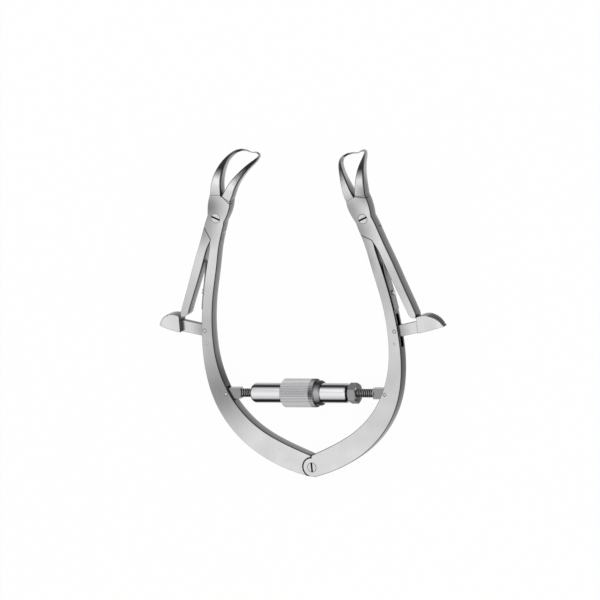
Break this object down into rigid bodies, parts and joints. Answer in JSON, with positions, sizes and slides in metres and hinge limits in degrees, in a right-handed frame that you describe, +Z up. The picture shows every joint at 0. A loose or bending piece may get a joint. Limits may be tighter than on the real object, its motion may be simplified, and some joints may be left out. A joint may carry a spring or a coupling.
{
  "type": "self retaining retractor",
  "caption": "Self retaining skin flap retractor: curved hinged arms spread by a knurled turnbuckle, each with a latched clamp jaw of fine down-curved tines.",
  "frame": {"origin": "middle of the whole instrument's footprint, on the table that it rests on", "axes": "+Y from the main hinge to the jaws, +X to the right seen from above, +Z up, out of the arms' front faces, which lean 6.54 degrees because the jaws' points and the hinge end rest on the table"},
  "size_m": [0.1534, 0.161, 0.0229],
  "materials": {
    "satin_steel": "satin",
    "latch_steel": "satin",
    "polished_steel": "polished",
    "knurled_steel": "knurled",
    "spring_steel": "blue-grey satin",
    "thread_steel": "turned",
    "screw_steel": "turned"
  },
  "bodies": {
    "left_side": {"left_arm": "satin_steel", "left_clamp_screw": "screw_steel", "left_latch_pin": "screw_steel", "left_jaw_spring": "spring_steel", "left_spring_screw": "screw_steel", "left_latch_spring": "spring_steel", "left_latch_spring_pin": "screw_steel", "left_rod_pin": "screw_steel", "hinge_screw": "screw_steel"},
    "right_side": {"right_arm": "satin_steel", "right_clamp_screw": "screw_steel", "right_latch_pin": "screw_steel", "right_jaw_spring": "spring_steel", "right_spring_screw": "screw_steel", "right_latch_spring": "spring_steel", "right_latch_spring_pin": "screw_steel", "right_rod_pin": "screw_steel"},
    "left_lever": {"left_jaw_lever": "satin_steel"},
    "right_lever": {"right_jaw_lever": "satin_steel"},
    "left_thumb_latch": {"left_latch": "latch_steel"},
    "right_thumb_latch": {"right_latch": "latch_steel"},
    "left_screw_rod": {"left_rod": "thread_steel"},
    "right_screw_rod": {"right_rod": "thread_steel"},
    "tube": {"turnbuckle_tube": "polished_steel"},
    "grip": {"knurled_grip": "knurled_steel"},
    "nut": {"lock_nut": "polished_steel"}
  },
  "joints": [
    {"name": "arm_hinge", "type": "hinge", "parent": "left_side", "child": "right_side", "pos_m": [0, -0.07527, 0.00406], "axis": [0, 0.114, -0.9935], "range_deg": [-6, 16]},
    {"name": "left_rod_swing", "type": "hinge", "parent": "left_side", "child": "left_screw_rod", "pos_m": [-0.0428, -0.03891, 0.00823], "axis": [0, 0.114, -0.9935], "range_deg": [-3, 8]},
    {"name": "right_rod_swing", "type": "hinge", "parent": "right_side", "child": "right_screw_rod", "pos_m": [0.0428, -0.03891, 0.00823], "axis": [0, 0.114, -0.9935], "range_deg": [-8, 3]},
    {"name": "tube_travel", "type": "slide", "parent": "left_screw_rod", "child": "tube", "axis": [1, 0, 0], "range_m": [-0.00192, 0.00511]},
    {"name": "grip_spin", "type": "hinge", "parent": "tube", "child": "grip", "pos_m": [0, -0.03891, 0.00823], "axis": [1, 0, 0], "range_deg": [-689.89, 1839.72]},
    {"name": "lock_nut_travel", "type": "slide", "parent": "right_screw_rod", "child": "nut", "axis": [-1, 0, 0], "range_m": [-0.00192, 0.00511]},
    {"name": "left_jaw", "type": "hinge", "parent": "left_side", "child": "left_lever", "pos_m": [-0.0397, 0.04862, 0.01827], "axis": [0, 0.114, -0.9935], "range_deg": [0, 14], "deforming": ["left_jaw_spring"]},
    {"name": "right_jaw", "type": "hinge", "parent": "right_side", "child": "right_lever", "pos_m": [0.0397, 0.04862, 0.01827], "axis": [0, -0.114, 0.9935], "range_deg": [0, 14], "deforming": ["right_jaw_spring"]},
    {"name": "left_latch_press", "type": "hinge", "parent": "left_side", "child": "left_thumb_latch", "pos_m": [-0.0512, -0.00742, 0.01185], "axis": [0, -0.114, 0.9935], "range_deg": [0, 16.8], "deforming": ["left_latch_spring"]},
    {"name": "right_latch_press", "type": "hinge", "parent": "right_side", "child": "right_thumb_latch", "pos_m": [0.0512, -0.00742, 0.01185], "axis": [0, 0.114, -0.9935], "range_deg": [0, 16.8], "deforming": ["right_latch_spring"]}
  ],
  "couplings": [
    {"joint": "left_rod_swing", "follows": "arm_hinge", "ratio": 0.5},
    {"joint": "right_rod_swing", "follows": "arm_hinge", "ratio": -0.5},
    {"joint": "tube_travel", "follows": "arm_hinge", "m_per_rad": 0.0183},
    {"joint": "grip_spin", "follows": "arm_hinge", "ratio": 114.98},
    {"joint": "lock_nut_travel", "follows": "arm_hinge", "m_per_rad": 0.0183},
    {"joint": "left_latch_press", "follows": "left_jaw", "ratio": 1.2},
    {"joint": "right_latch_press", "follows": "right_jaw", "ratio": 1.2}
  ]
}
